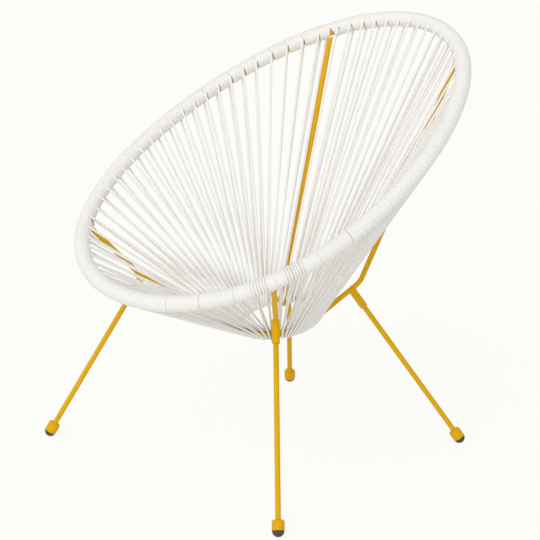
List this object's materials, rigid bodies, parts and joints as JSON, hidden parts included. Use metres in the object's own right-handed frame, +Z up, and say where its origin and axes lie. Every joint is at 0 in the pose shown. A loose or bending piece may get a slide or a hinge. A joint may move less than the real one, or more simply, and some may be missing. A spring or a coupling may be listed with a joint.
{
  "type": "acapulco chair",
  "caption": "Round lounge chair: an oval tube hoop wound with cord, cords strung down to a small ring, and four splayed rod legs with rubber-tipped cup feet.",
  "frame": {"origin": "on the floor, below the middle of the rim hoop", "axes": "+Z up, the chair faces -Y, the sitter's left is +X"},
  "size_m": [0.7606, 0.8468, 0.887],
  "materials": {
    "powder_coat": "smooth satin yellow powder coat",
    "cord": "smooth extruded white PVC cord",
    "rubber": "matt moulded dark rubber",
    "zinc": "bright zinc plate"
  },
  "bodies": {
    "root": {"cord_back_1": "cord", "cord_back_2": "cord", "cord_left_1": "cord", "cord_left_2": "cord", "cord_front_1": "cord", "cord_front_2": "cord", "cord_right_1": "cord", "cord_right_2": "cord", "rim_hoop": "powder_coat", "bottom_ring": "powder_coat", "strut_front_left": "powder_coat", "leg_socket_front_left": "powder_coat", "leg_stud_front_left": "zinc", "leg_front_left": "powder_coat", "foot_cup_front_left": "powder_coat", "rubber_tip_front_left": "rubber", "strut_front_right": "powder_coat", "leg_socket_front_right": "powder_coat", "leg_stud_front_right": "zinc", "leg_front_right": "powder_coat", "foot_cup_front_right": "powder_coat", "rubber_tip_front_right": "rubber", "strut_back_left": "powder_coat", "leg_socket_back_left": "powder_coat", "leg_stud_back_left": "zinc", "leg_back_left": "powder_coat", "foot_cup_back_left": "powder_coat", "rubber_tip_back_left": "rubber", "strut_back_right": "powder_coat", "leg_socket_back_right": "powder_coat", "leg_stud_back_right": "zinc", "leg_back_right": "powder_coat", "foot_cup_back_right": "powder_coat", "rubber_tip_back_right": "rubber"}
  },
  "joints": []
}
